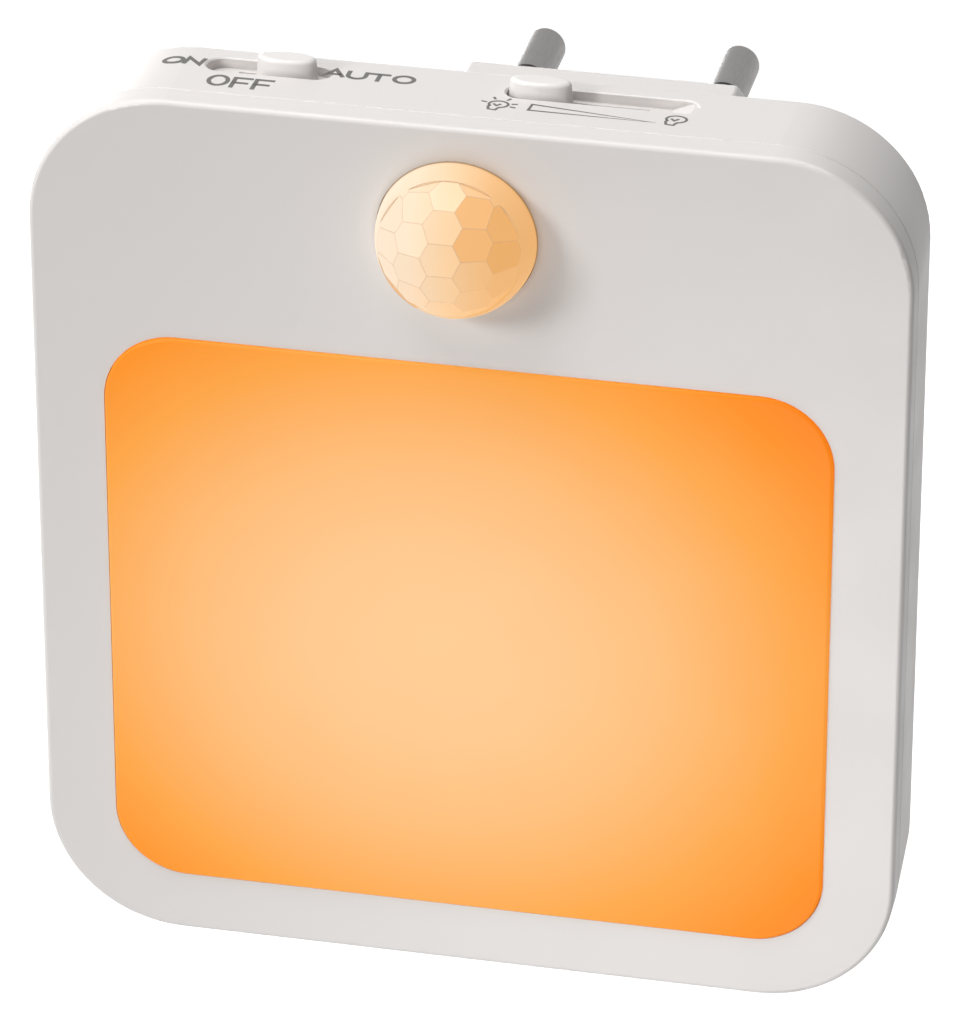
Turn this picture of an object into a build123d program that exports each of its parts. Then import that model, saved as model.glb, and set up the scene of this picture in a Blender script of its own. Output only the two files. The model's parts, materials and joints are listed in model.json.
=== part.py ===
"""Plug-in night light: a slim lamp with a movement sensor, on a two-pin plug block.

Frame: the origin is the centre of the plug block's rear face, between the two pins. +Y points
into the wall, +Z is up and +X is to the right of someone facing the lamp. Millimetres.
"""

import os
from math import atan2, cos, degrees, hypot, radians, sin, tan

from build123d import *

os.makedirs("parts", exist_ok=True)

# ---- Driving dimensions ---------------------------------------------------------------------

# Case
case_width = 81.7
case_height = 87.7
case_depth = 14.0
corner_radius = 12.9
front_edge_radius = 0.5
rear_edge_radius = 1.2
cover_depth = 2.8  # from the face back to the seam
seam_chamfer = 0.12
housing_draft = 3.0  # degrees, of the rear housing's sides
face_wall = 1.6
side_wall = 1.8
rear_wall = 1.4
lip_inset = 1.0  # of the cover's locating lip, from the case's side
lip_length = 1.6
fit_gap = 0.1  # between pieces that fit into each other

# Plug block and pins (flat two-pin plug for 2.5 A)
plug_width = 35.3
plug_height = 13.7
plug_flat = 25.4
plug_length = 18.0
plug_wall = 1.8
plug_end_wall = 3.0
plug_corner_radius = 0.5
plug_edge_radius = 0.9
plug_right = 6.4  # of the case's centre
plug_drop = 15.05  # below the case's top
pin_pitch = 19.0
pin_diameter = 4.0
pin_length = 19.0
pin_tip_radius = 0.8
pin_core_diameter = 3.0
sleeve_length = 10.0
sleeve_diameter = 3.6
press_gap = 0.02  # radial, between pressed or screwed pieces
pin_head_diameter = 5.6
pin_head_height = 1.0
rivet_diameter = 2.0
contact_thickness = 0.5
contact_width = 3.0
contact_tab_width = 1.4
contact_tab_reach = 0.5  # past the board's front

# Light panel
panel_side_margin = 6.8
panel_top_margin = 23.95
panel_bottom_margin = 6.25
panel_corner_radius = 6.8
panel_proud = 0.3
panel_edge_radius = 0.28
panel_thickness = 1.6
panel_flange_width = 1.2
panel_flange_thickness = 1.2
reflector_wall = 1.2
reflector_floor = 0.8
reflector_draft = 20.0  # degrees

# Movement sensor
dome_drop = 10.75  # below the case's top
dome_left = 0.8  # of the case's centre
dome_radius = 7.4
dome_wall = 0.9
dome_flange_width = 0.95
dome_flange_thickness = 0.8
facet_pitch = 24.0  # degrees between facets and between their columns, from the dome's centre
facet_raise = 8.2  # degrees that the facets' grid stands above the dome's pole
facet_reach = 64.0  # degrees from the lens's middle to the smooth band round the facets
lens_raise = 4.0  # degrees from the dome's pole up to the lens's middle
facet_cut = 0.25
retainer_thickness = 1.0
retainer_bore_radius = 6.9
collar_wall = 0.85
sensor_flange_diameter = 9.2
sensor_can_diameter = 8.2
sensor_can_height = 4.0
sensor_flange_height = 0.5
sensor_window_width = 4.6
sensor_window_height = 3.6
sensor_window_thickness = 0.4
sensor_lead_diameter = 0.45
sensor_lead_circle = 5.1
sensor_edge_radius = 0.4
spacer_height = 1.2
spacer_bore_diameter = 6.4
light_sensor_drop = 5.9  # below the dome's centre

# Sliders on the top face
recess_depth = 1.1
recess_rim_chamfer = 0.2
floor_pad = 0.8
knob_height = 1.4  # above the top face round it
knob_lift = 0.15  # off the recess's floor
knob_edge_radius = 0.4
knob_draft = 5.0  # degrees
stem_length = 2.4
stem_width = 1.5
stem_gap = 0.15
lever_length = 1.6
lever_width = 1.0
lever_tip_chamfer = 0.15
lever_grip = 1.9  # how far the knob takes the lever in
lever_gap = 0.05
shutter_thickness = 0.4
shutter_width = 2.8
shutter_gap = 0.1
shutter_overlap = 0.6
switch_height = 3.5
switch_thickness = 3.2
switch_room = 1.4  # behind the switches
switch_end_wall = 1.2
switch_corner_chamfer = 0.3
carriage_length = 2.4
carriage_width = 1.6
carriage_height = 0.8
run_gap = 0.15

mode_from_left = 20.5  # recess centre, from the case's left side
mode_recess_length = 11.6
mode_recess_width = 3.05
mode_knob_length = 5.8
mode_knob_width = 2.85
mode_travel = 3.4

dimmer_right = 1.75  # recess's left end, from the case's centre
dimmer_recess_length = 17.6
dimmer_recess_width = 2.9
dimmer_ramp_length = 2.5
dimmer_knob_length = 6.0
dimmer_knob_width = 2.65
dimmer_knob_margin = 0.15
dimmer_travel = 8.5

# Board and what is on it
board_thickness = 1.2
board_gap = 0.5
led_size = (3.5, 2.8, 0.8)
led_well_diameter = 2.2
led_well_depth = 0.15
led_pitch_x = 15.0
led_pitch_z = 14.0
led_window_gap = 0.5
smoothing_gap = 0.7  # to the cover's face wall
smoothing_length = 11.0
smoothing_edge_radius = 0.4
smoothing_right = 17.5  # of the case's centre
lead_diameter = 0.6
lead_reach = 1.3
dropper_size = (11.0, 6.5, 12.0)
dropper_corner_radius = 0.6
dropper_edge_radius = 0.5
fuse_diameter = 2.6
fuse_length = 7.0
fuse_edge_radius = 0.5
fuse_side = 19.3  # from the case's right side
bridge_size = (4.7, 3.9, 2.4)
bridge_corner_chamfer = 0.3
bridge_side = 20.3  # from the case's left side
chip_size = (4.9, 3.9, 1.5)
chip_below_block = 15.3  # of the components behind the board, from the block's centre
chip_foot = (0.45, 1.0, 0.2)
chip_foot_pitch = 1.27
resistor_size = (2.0, 1.25, 0.6)
resistor_pitch = 4.0
resistor_below_chip = 10.0
light_sensor_size = (2.0, 1.25, 1.0)
light_sensor_lens_share = 1 / 3  # the lens's radius, of the body's second side
light_sensor_lens_height = 0.25

# Screws and posts
case_screw_side = 33.6
case_screw_drop = 16.8
cover_post_diameter = 5.0
boss_diameter = 6.6
boss_height = 3.0
case_screw_diameter = 2.2
case_screw_head_diameter = 4.2
case_screw_head_height = 1.4
case_screw_bite = 5.2
counterbore_diameter = 5.0
counterbore_depth = 2.0
clearance_hole_diameter = 2.7
board_screw_side = 27.0
board_screw_drop = 19.8
board_post_diameter = 4.5
board_screw_diameter = 1.7
board_screw_head_diameter = 3.6
board_screw_head_height = 1.2
board_screw_bite = 3.2
rest_side = 30.0
rest_places_up = (0.0, -34.0)
cross_width = 0.6
cross_share = 0.6  # of the head's height
head_round_share = 1 / 3  # of the head's height

# Hooks along the cover's lower edge
hook_side = 20.0
hook_width = 8.0
hook_thickness = 0.8
hook_room = 3.4  # behind the hooks
hook_barb = 0.5
hook_barb_length = 1.2
hook_pocket_gap = 0.2  # at each end of a hook, in the pocket for its barb

# ---- Derived places -------------------------------------------------------------------------

case_x = -plug_right
case_top = plug_drop
case_z = case_top - case_height / 2
front_y = -(plug_length + case_depth)

panel_width = case_width - 2 * panel_side_margin
panel_height = case_height - panel_top_margin - panel_bottom_margin
panel_up = (panel_bottom_margin - panel_top_margin) / 2
panel_flange_rear = face_wall + panel_flange_thickness

rear_inside = case_depth - rear_wall
slider_depth = rear_inside - switch_room - switch_thickness / 2
board_rear = slider_depth - switch_thickness / 2
board_front = board_rear - board_thickness
cover_post_end = rear_inside - boss_height - fit_gap
hook_end = rear_inside - hook_room
dome_up = case_height / 2 - dome_drop
case_screw_up = case_height / 2 - case_screw_drop
board_screw_up = case_height / 2 - board_screw_drop
case_screw_places = [(-case_screw_side, case_screw_up), (case_screw_side, case_screw_up)]
board_screw_places = [(-board_screw_side, board_screw_up), (board_screw_side, board_screw_up)]

# Heights from the case's top, downwards as negative numbers
slide_top = -(slider_depth - cover_depth) * tan(radians(housing_draft))  # top face at the sliders
recess_floor = slide_top - recess_depth
pad_under = -side_wall - floor_pad
shutter_top = pad_under - shutter_gap
switch_top = shutter_top - shutter_thickness - shutter_gap
lever_top = pad_under + lever_grip - lever_gap

mode_recess_x = mode_from_left - case_width / 2
mode_rest_x = mode_recess_x + mode_travel / 2
dimmer_recess_x = dimmer_right + dimmer_recess_length / 2
dimmer_rest_x = dimmer_right + dimmer_knob_margin + dimmer_knob_length / 2

contact_leaf_x = pin_pitch / 2 + pin_head_diameter / 2

smoothing_diameter = board_front - face_wall - smoothing_gap
smoothing_place = (smoothing_right, dome_up)
chip_up = case_height / 2 - plug_drop - chip_below_block
fuse_place = (case_width / 2 - fuse_side, chip_up)
bridge_place = (bridge_side - case_width / 2, chip_up)
resistor_place = (0, chip_up - resistor_below_chip)


# ---- Planes and outlines --------------------------------------------------------------------


def across(depth):
    """Plane across the case, depth behind its face: drawn in front view about the case's centre."""
    return Plane(origin=(case_x, front_y + depth, case_z), x_dir=(1, 0, 0), z_dir=(0, -1, 0))


def across_plug(y):
    """Plane across the plug block at y: drawn in front view about the block's centre."""
    return Plane(origin=(0, y, 0), x_dir=(1, 0, 0), z_dir=(0, -1, 0))


def level(height):
    """Level plane at a height from the case's top: x from the case's centre, y behind its face."""
    return Plane(origin=(case_x, front_y, case_top + height), x_dir=(1, 0, 0), z_dir=(0, 0, 1))


def case_outline(depth, inset=0.0):
    """The case's rounded outline, drawn in by inset."""
    with BuildSketch(across(depth)) as outline:
        RectangleRounded(case_width - 2 * inset, case_height - 2 * inset, corner_radius - inset)
    return outline.sketch


def panel_outline(depth, inset=0.0):
    """The light panel's rounded outline, drawn in by inset."""
    with BuildSketch(across(depth)) as outline:
        with Locations((0, panel_up)):
            width = panel_width - 2 * inset
            height = panel_height - 2 * inset
            RectangleRounded(width, height, panel_corner_radius - inset)
    return outline.sketch


def plug_outline(y, inset=0.0):
    """The plug block's six-sided outline with rounded corners, drawn in by inset."""
    half_width, half_height, half_flat = plug_width / 2, plug_height / 2, plug_flat / 2
    corners = [
        (-half_flat, half_height),
        (half_flat, half_height),
        (half_width, 0),
        (half_flat, -half_height),
        (-half_flat, -half_height),
        (-half_width, 0),
    ]
    with BuildSketch(across_plug(y)) as outline:
        Polygon(*corners, align=None)
        fillet(outline.vertices(), radius=plug_corner_radius)
        if inset:
            offset(amount=-inset)
    return outline.sketch


def export(part, name):
    """Labels a finished piece and writes its STEP file."""
    part.label = name
    export_step(part, f"parts/{name}.step")


# ---- Case -----------------------------------------------------------------------------------

collar_radius = dome_radius + dome_flange_width + fit_gap
collar_end = face_wall + dome_flange_thickness + retainer_thickness

with BuildPart() as front_cover:
    extrude(case_outline(0), amount=-cover_depth)
    fillet(front_cover.faces().sort_by(Axis.Y)[0].edges(), radius=front_edge_radius)
    chamfer(front_cover.faces().sort_by(Axis.Y)[-1].edges(), length=seam_chamfer)
    # Locating lip, and the hollow inside it
    extrude(case_outline(cover_depth, lip_inset), amount=-lip_length)
    hollow = cover_depth + lip_length - face_wall
    extrude(case_outline(face_wall, side_wall), amount=-hollow, mode=Mode.SUBTRACT)
    # Light window, wide enough for the panel's body but not for its flange
    extrude(panel_outline(0, -fit_gap), amount=-face_wall, mode=Mode.SUBTRACT)
    # Collar that takes the dome's flange and its retainer
    with BuildSketch(across(face_wall)):
        with Locations((-dome_left, dome_up)):
            Circle(collar_radius + collar_wall)
            Circle(collar_radius, mode=Mode.SUBTRACT)
        RectangleRounded(
            case_width - 2 * lip_inset,
            case_height - 2 * lip_inset,
            corner_radius - lip_inset,
            mode=Mode.INTERSECT,
        )
    extrude(amount=face_wall - collar_end)
    with BuildSketch(across(0)):
        with Locations((-dome_left, dome_up)):
            Circle(dome_radius + fit_gap)
    extrude(amount=-face_wall, mode=Mode.SUBTRACT)
    # Screw posts
    with BuildSketch(across(face_wall)):
        with Locations(case_screw_places):
            Circle(cover_post_diameter / 2)
    extrude(amount=face_wall - cover_post_end)
    with BuildSketch(across(cover_post_end)):
        with Locations(case_screw_places):
            Circle(case_screw_diameter / 2 + press_gap)
    extrude(amount=case_screw_bite + 2 * fit_gap, mode=Mode.SUBTRACT)
    # Hooks: a tongue inside the lower lip with a barb that points down
    tongue_up = side_wall + fit_gap - case_height / 2
    with BuildSketch(across(face_wall)):
        with Locations((-hook_side, tongue_up), (hook_side, tongue_up)):
            Rectangle(hook_width, hook_thickness, align=(Align.CENTER, Align.MIN))
    extrude(amount=face_wall - hook_end)
    with BuildSketch(across(hook_end - hook_barb_length)):
        with Locations((-hook_side, tongue_up), (hook_side, tongue_up)):
            Rectangle(hook_width, hook_barb, align=(Align.CENTER, Align.MAX))
    extrude(amount=-hook_barb_length)
    # The tongues' roots run down to the lip
    with BuildSketch(across(face_wall)):
        with Locations((-hook_side, tongue_up), (hook_side, tongue_up)):
            Rectangle(hook_width, fit_gap, align=(Align.CENTER, Align.MAX))
    extrude(amount=-hollow)
export(front_cover.part, "front_cover")

ramp_angle = degrees(atan2(recess_depth, dimmer_ramp_length))
ramp_start = dimmer_right + dimmer_recess_length - dimmer_ramp_length

with BuildPart() as dimmer_recess:
    with BuildSketch(level(recess_floor)):
        with Locations((dimmer_recess_x, slider_depth)):
            SlotOverall(dimmer_recess_length, dimmer_recess_width)
    extrude(amount=-recess_floor)
    # The floor runs up to the top face at the right end
    ramp_edge = (case_x + ramp_start, front_y + slider_depth, case_top + recess_floor)
    ramp_normal = (-sin(radians(ramp_angle)), 0, cos(radians(ramp_angle)))
    split(bisect_by=Plane(origin=ramp_edge, z_dir=ramp_normal), keep=Keep.TOP)

with BuildPart() as rear_housing:
    extrude(case_outline(cover_depth), amount=cover_depth - case_depth, taper=housing_draft)
    fillet(rear_housing.faces().sort_by(Axis.Y)[-1].edges(), radius=rear_edge_radius)
    chamfer(rear_housing.faces().sort_by(Axis.Y)[0].edges(), length=seam_chamfer)
    # Plug block, with a rounded rear edge
    extrude(plug_outline(-plug_length - rear_wall), amount=-plug_length - rear_wall)
    fillet(rear_housing.faces().sort_by(Axis.Y)[-1].edges(), radius=plug_edge_radius)
    # Hollow of the case, the rebate for the cover's lip and the hollow of the block
    extrude(case_outline(cover_depth, side_wall), amount=cover_depth - rear_inside, mode=Mode.SUBTRACT)
    rebate = case_outline(cover_depth, lip_inset - fit_gap)
    extrude(rebate, amount=-lip_length - fit_gap, mode=Mode.SUBTRACT)
    block_hollow = plug_length + rear_wall - plug_end_wall
    cavity = plug_outline(-plug_length - rear_wall, plug_wall)
    extrude(cavity, amount=-block_hollow, mode=Mode.SUBTRACT)
    # Pads that thicken the top wall under the recesses
    with BuildSketch(level(-side_wall)):
        for recess_x, recess_length in (
            (mode_recess_x, mode_recess_length),
            (dimmer_recess_x, dimmer_recess_length),
        ):
            with Locations((recess_x, rear_inside)):
                pad_depth = rear_inside - cover_depth - lip_length - 2 * fit_gap
                Rectangle(recess_length, pad_depth, align=(Align.CENTER, Align.MAX))
    extrude(amount=-floor_pad)
    # Recesses, with chamfered rims
    with BuildSketch(level(recess_floor)):
        with Locations((mode_recess_x, slider_depth)):
            SlotOverall(mode_recess_length, mode_recess_width)
    extrude(amount=-recess_floor, mode=Mode.SUBTRACT)
    add(dimmer_recess.part, mode=Mode.SUBTRACT)
    rim_foot = slide_top - recess_rim_chamfer
    with BuildSketch(level(rim_foot)):
        with Locations((mode_recess_x, slider_depth)):
            SlotOverall(mode_recess_length, mode_recess_width)
        with Locations((dimmer_recess_x, slider_depth)):
            SlotOverall(dimmer_recess_length, dimmer_recess_width)
    extrude(amount=-rim_foot, taper=-45, mode=Mode.SUBTRACT)
    # Stem slots through the recess floors
    with BuildSketch(level(recess_floor)):
        with Locations((mode_rest_x - mode_travel / 2, slider_depth)):
            Rectangle(stem_length + mode_travel + 2 * stem_gap, stem_width + 2 * stem_gap)
        with Locations((dimmer_rest_x + dimmer_travel / 2, slider_depth)):
            Rectangle(stem_length + dimmer_travel + 2 * stem_gap, stem_width + 2 * stem_gap)
    extrude(amount=pad_under - recess_floor, mode=Mode.SUBTRACT)
    # Screw bosses with their counterbored holes
    with BuildSketch(across(rear_inside)):
        with Locations(case_screw_places):
            Circle(boss_diameter / 2)
    extrude(amount=boss_height)
    with BuildSketch(across(case_depth)):
        with Locations(case_screw_places):
            Circle(counterbore_diameter / 2)
    extrude(amount=counterbore_depth, mode=Mode.SUBTRACT)
    with BuildSketch(across(case_depth)):
        with Locations(case_screw_places):
            Circle(clearance_hole_diameter / 2)
    extrude(amount=case_depth - cover_depth, mode=Mode.SUBTRACT)
    # Posts that the board is screwed to, and plain ones that it rests on
    rest_places = [(side * rest_side, up) for side in (-1, 1) for up in rest_places_up]
    with BuildSketch(across(rear_inside)):
        with Locations(board_screw_places + rest_places):
            Circle(board_post_diameter / 2)
    extrude(amount=rear_inside - board_rear)
    with BuildSketch(across(board_rear)):
        with Locations(board_screw_places):
            Circle(board_screw_diameter / 2 + press_gap)
    extrude(amount=-board_screw_bite - fit_gap, mode=Mode.SUBTRACT)
    # Pin holes in the block's end wall
    with BuildSketch(across_plug(0)):
        with Locations((-pin_pitch / 2, 0), (pin_pitch / 2, 0)):
            Circle(pin_diameter / 2 + press_gap)
    extrude(amount=plug_end_wall, mode=Mode.SUBTRACT)
    # Pockets for the hooks' barbs
    with BuildSketch(across(hook_end - hook_barb_length - fit_gap)):
        pocket_up = side_wall - case_height / 2
        with Locations((-hook_side, pocket_up), (hook_side, pocket_up)):
            Rectangle(hook_width + 2 * hook_pocket_gap, hook_barb, align=(Align.CENTER, Align.MAX))
    extrude(amount=-hook_barb_length - 2 * fit_gap, mode=Mode.SUBTRACT)
export(rear_housing.part, "rear_housing")


# ---- Light panel ----------------------------------------------------------------------------

with BuildPart() as diffuser_panel:
    extrude(panel_outline(-panel_proud), amount=-panel_proud - face_wall)
    fillet(diffuser_panel.faces().sort_by(Axis.Y)[0].edges(), radius=panel_edge_radius)
    extrude(panel_outline(face_wall, -panel_flange_width), amount=-panel_flange_thickness)
    panel_back = panel_thickness - panel_proud
    hollow = panel_flange_rear - panel_back
    inside = panel_outline(panel_back, panel_flange_width)
    extrude(inside, amount=-hollow, mode=Mode.SUBTRACT)
export(diffuser_panel.part, "diffuser_panel")

led_places = [
    (column * led_pitch_x, panel_up + row * led_pitch_z)
    for column in (-1, 0, 1)
    for row in (-0.5, 0.5)
]

with BuildPart() as reflector_frame:
    tray_depth = board_front - panel_flange_rear
    extrude(panel_outline(panel_flange_rear, -panel_flange_width), amount=-tray_depth)
    mouth = panel_outline(panel_flange_rear, reflector_wall - panel_flange_width)
    well = tray_depth - reflector_floor
    extrude(mouth, amount=-well, taper=reflector_draft, mode=Mode.SUBTRACT)
    with BuildSketch(across(board_front)):
        with Locations(led_places):
            Rectangle(led_size[0] + 2 * led_window_gap, led_size[1] + 2 * led_window_gap)
    extrude(amount=reflector_floor, mode=Mode.SUBTRACT)
export(reflector_frame.part, "reflector_frame")


# ---- Movement sensor ------------------------------------------------------------------------


def facet_directions():
    """Directions of the dome's facets: staggered columns wrapped round its pole."""
    reach = int(facet_reach / facet_pitch) + 1
    directions = []
    for column in range(-reach, reach + 1):
        for row in range(-reach, reach + 1):
            across_pole = column * facet_pitch
            up_pole = (row + 0.5 * (column % 2)) * facet_pitch + facet_raise
            tilt = hypot(across_pole, up_pole)
            if hypot(across_pole, up_pole - lens_raise) > facet_reach + facet_pitch / 4:
                continue
            turn = atan2(up_pole, across_pole)
            side = sin(radians(tilt))
            directions.append((side * cos(turn), -cos(radians(tilt)), side * sin(turn)))
    return directions


dome_centre = (case_x - dome_left, front_y, case_z + dome_up)
dome_axis = Axis(dome_centre, (0, 1, 0))
# Half sections of the dome are drawn here, from its pole towards +X
dome_section = Plane(origin=dome_centre, x_dir=(1, 0, 0), z_dir=(0, 0, 1))
# The same about the lens's middle, which stands above the pole
lens_normal = (0, sin(radians(lens_raise)), cos(radians(lens_raise)))
lens_section = Plane(origin=dome_centre, x_dir=(1, 0, 0), z_dir=lens_normal)

with BuildSketch(dome_section) as dome_quarter:
    with BuildLine():
        crown = CenterArc((0, 0), dome_radius, -90, 90)
        Line(crown @ 0, (0, 0))
        Line((0, 0), crown @ 1)
    make_face()

with BuildPart() as smooth_band:
    revolve(dome_quarter.sketch, axis=dome_axis)
    # The cone that the facets stand in
    with BuildSketch(lens_section):
        with BuildLine():
            spread = 2 * dome_radius
            edge = (spread * sin(radians(facet_reach)), -spread * cos(radians(facet_reach)))
            Polyline((0, 0), edge, (0, -spread), (0, 0))
        make_face()
    revolve(axis=Axis(dome_centre, lens_section.y_dir), mode=Mode.SUBTRACT)

with BuildPart() as pir_dome:
    revolve(dome_quarter.sketch, axis=dome_axis)
    for direction in facet_directions():
        flat = dome_radius - facet_cut
        on_facet = tuple(c + flat * d for c, d in zip(dome_centre, direction))
        split(bisect_by=Plane(origin=on_facet, z_dir=direction), keep=Keep.BOTTOM)
    add(smooth_band.part)
    # Neck through the cover, and the flange behind it
    with BuildSketch(across(0)):
        with Locations((-dome_left, dome_up)):
            Circle(dome_radius)
    extrude(amount=-face_wall)
    with BuildSketch(across(face_wall)):
        with Locations((-dome_left, dome_up)):
            Circle(dome_radius + dome_flange_width)
    extrude(amount=-dome_flange_thickness)
    # Hollow of the dome
    bore_radius = dome_radius - dome_wall
    with BuildSketch(dome_section):
        with BuildLine():
            vault = CenterArc((0, 0), bore_radius, -90, 90)
            mouth_y = face_wall + dome_flange_thickness
            Line(vault @ 1, (bore_radius, mouth_y))
            Line((bore_radius, mouth_y), (0, mouth_y))
            Line((0, mouth_y), vault @ 0)
        make_face()
    revolve(axis=dome_axis, mode=Mode.SUBTRACT)
export(pir_dome.part, "pir_dome")

with BuildPart() as dome_retainer:
    with BuildSketch(across(face_wall + dome_flange_thickness)):
        with Locations((-dome_left, dome_up)):
            Circle(dome_radius + dome_flange_width)
            Circle(retainer_bore_radius, mode=Mode.SUBTRACT)
    extrude(amount=-retainer_thickness)
export(dome_retainer.part, "dome_retainer")

sensor_base = board_front - spacer_height
sensor_front = sensor_base - sensor_can_height

with BuildPart() as pir_spacer:
    with BuildSketch(across(sensor_base)):
        with Locations((-dome_left, dome_up)):
            Circle(sensor_flange_diameter / 2)
            Circle(spacer_bore_diameter / 2, mode=Mode.SUBTRACT)
    extrude(amount=-spacer_height)
export(pir_spacer.part, "pir_spacer")

with BuildPart() as pir_sensor:
    with BuildSketch(across(sensor_base)):
        with Locations((-dome_left, dome_up)):
            Circle(sensor_can_diameter / 2)
    extrude(amount=sensor_can_height)
    fillet(pir_sensor.faces().sort_by(Axis.Y)[0].edges(), radius=sensor_edge_radius)
    with BuildSketch(across(sensor_base)):
        with Locations((-dome_left, dome_up)):
            Circle(sensor_flange_diameter / 2)
    extrude(amount=sensor_flange_height)
    with BuildSketch(across(sensor_front)):
        with Locations((-dome_left, dome_up)):
            Rectangle(sensor_window_width, sensor_window_height)
    extrude(amount=-sensor_window_thickness, mode=Mode.SUBTRACT)
    with BuildSketch(across(sensor_base)):
        with Locations((-dome_left, dome_up)):
            with PolarLocations(sensor_lead_circle / 2, 3, start_angle=45, angular_range=270):
                Circle(sensor_lead_diameter / 2)
    extrude(amount=-spacer_height)
export(pir_sensor.part, "pir_sensor")

with BuildPart() as pir_filter_window:
    with BuildSketch(across(sensor_front)):
        with Locations((-dome_left, dome_up)):
            Rectangle(sensor_window_width, sensor_window_height)
    extrude(amount=-sensor_window_thickness)
export(pir_filter_window.part, "pir_filter_window")

with BuildPart() as light_sensor:
    with BuildSketch(across(board_front)):
        with Locations((-dome_left, dome_up - light_sensor_drop)):
            Rectangle(light_sensor_size[0], light_sensor_size[1])
    extrude(amount=light_sensor_size[2])
    with BuildSketch(across(board_front - light_sensor_size[2])):
        with Locations((-dome_left, dome_up - light_sensor_drop)):
            Circle(light_sensor_size[1] * light_sensor_lens_share)
    extrude(amount=light_sensor_lens_height)
export(light_sensor.part, "light_sensor")


# ---- Sliders --------------------------------------------------------------------------------


def slide_knob(rest_x, length, width):
    """Oval knob in its recess, with a stem that takes the switch's lever in."""
    cap_floor = recess_floor + knob_lift
    with BuildPart() as knob:
        with BuildSketch(level(cap_floor)):
            with Locations((rest_x, slider_depth)):
                Ellipse(length / 2, width / 2)
        extrude(amount=slide_top + knob_height - cap_floor, taper=knob_draft)
        fillet(knob.faces().sort_by(Axis.Z)[-1].edges(), radius=knob_edge_radius)
        with BuildSketch(level(cap_floor)):
            with Locations((rest_x, slider_depth)):
                Rectangle(stem_length, stem_width)
        extrude(amount=pad_under - cap_floor)
        with BuildSketch(level(pad_under)):
            with Locations((rest_x, slider_depth)):
                Rectangle(lever_length + 2 * lever_gap, lever_width + 2 * lever_gap)
        extrude(amount=lever_grip, mode=Mode.SUBTRACT)
    return knob.part


def slide_shutter(rest_x, travel):
    """Thin strip under the top wall that moves with the knob and keeps its slot closed."""
    reach = travel + stem_gap + shutter_overlap
    with BuildPart() as shutter:
        with BuildSketch(level(shutter_top)):
            with Locations((rest_x, slider_depth)):
                SlotCenterToCenter(stem_length + 2 * reach - shutter_width, shutter_width)
                Rectangle(
                    lever_length + 2 * lever_gap,
                    lever_width + 2 * lever_gap,
                    mode=Mode.SUBTRACT,
                )
        extrude(amount=-shutter_thickness)
    return shutter.part


def switch_body(rest_x, travel_low, travel_high):
    """Slide switch's body with the stepped slot that its lever runs in."""
    middle_x = rest_x + (travel_low + travel_high) / 2
    travel = travel_high - travel_low
    run_length = carriage_length + travel + 2 * run_gap
    carriage_top = switch_top - switch_height / 2
    run_depth = carriage_height + 2 * run_gap
    with BuildPart() as body:
        with BuildSketch(level(switch_top)):
            with Locations((middle_x, slider_depth)):
                Rectangle(run_length + 2 * switch_end_wall, switch_thickness)
        extrude(amount=-switch_height)
        chamfer(body.edges().filter_by(Axis.Z), length=switch_corner_chamfer)
        with BuildSketch(level(carriage_top + run_gap)):
            with Locations((middle_x, slider_depth)):
                Rectangle(run_length, carriage_width + 2 * run_gap)
        extrude(amount=-run_depth, mode=Mode.SUBTRACT)
        with BuildSketch(level(switch_top)):
            with Locations((middle_x, slider_depth)):
                Rectangle(lever_length + travel + 2 * run_gap, lever_width + 2 * run_gap)
        extrude(amount=-switch_height / 2, mode=Mode.SUBTRACT)
    return body.part


def switch_lever(rest_x):
    """Lever of a slide switch, on the carriage that runs inside its body."""
    carriage_top = switch_top - switch_height / 2
    with BuildPart() as lever:
        with BuildSketch(level(carriage_top)):
            with Locations((rest_x, slider_depth)):
                Rectangle(carriage_length, carriage_width)
        extrude(amount=-carriage_height)
        with BuildSketch(level(carriage_top)):
            with Locations((rest_x, slider_depth)):
                Rectangle(lever_length, lever_width)
        extrude(amount=lever_top - carriage_top)
        chamfer(lever.faces().sort_by(Axis.Z)[-1].edges(), length=lever_tip_chamfer)
    return lever.part


export(slide_knob(mode_rest_x, mode_knob_length, mode_knob_width), "mode_knob")
export(slide_shutter(mode_rest_x, mode_travel), "mode_shutter")
export(switch_body(mode_rest_x, -mode_travel, 0), "mode_switch_body")
export(switch_lever(mode_rest_x), "mode_switch_lever")

export(slide_knob(dimmer_rest_x, dimmer_knob_length, dimmer_knob_width), "dimmer_knob")
export(slide_shutter(dimmer_rest_x, dimmer_travel), "dimmer_shutter")
export(switch_body(dimmer_rest_x, 0, dimmer_travel), "dimmer_body")
export(switch_lever(dimmer_rest_x), "dimmer_lever")


# ---- Board and its components ---------------------------------------------------------------

contact_tab_places = [
    (side * (contact_leaf_x + contact_thickness / 2) + plug_right, case_height / 2 - plug_drop)
    for side in (-1, 1)
]

with BuildPart() as main_board:
    board_inset = side_wall + board_gap
    hook_space = hook_thickness + fit_gap
    with BuildSketch(across(board_front)):
        with Locations((0, hook_space / 2)):
            RectangleRounded(
                case_width - 2 * board_inset,
                case_height - 2 * board_inset - hook_space,
                corner_radius - board_inset,
            )
        # Room under the top wall's pads
        with Locations((0, case_height / 2 - side_wall - floor_pad - board_gap)):
            Rectangle(case_width, side_wall, align=(Align.CENTER, Align.MIN), mode=Mode.SUBTRACT)
        with Locations(case_screw_places):
            Circle(cover_post_diameter / 2 + board_gap, mode=Mode.SUBTRACT)
        with Locations(board_screw_places):
            Circle(board_screw_diameter / 2 + fit_gap, mode=Mode.SUBTRACT)
        with Locations(contact_tab_places):
            slot_width = contact_thickness + 2 * fit_gap
            Rectangle(slot_width, contact_tab_width + 2 * fit_gap, mode=Mode.SUBTRACT)
    extrude(amount=-board_thickness)
export(main_board.part, "main_board")

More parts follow.
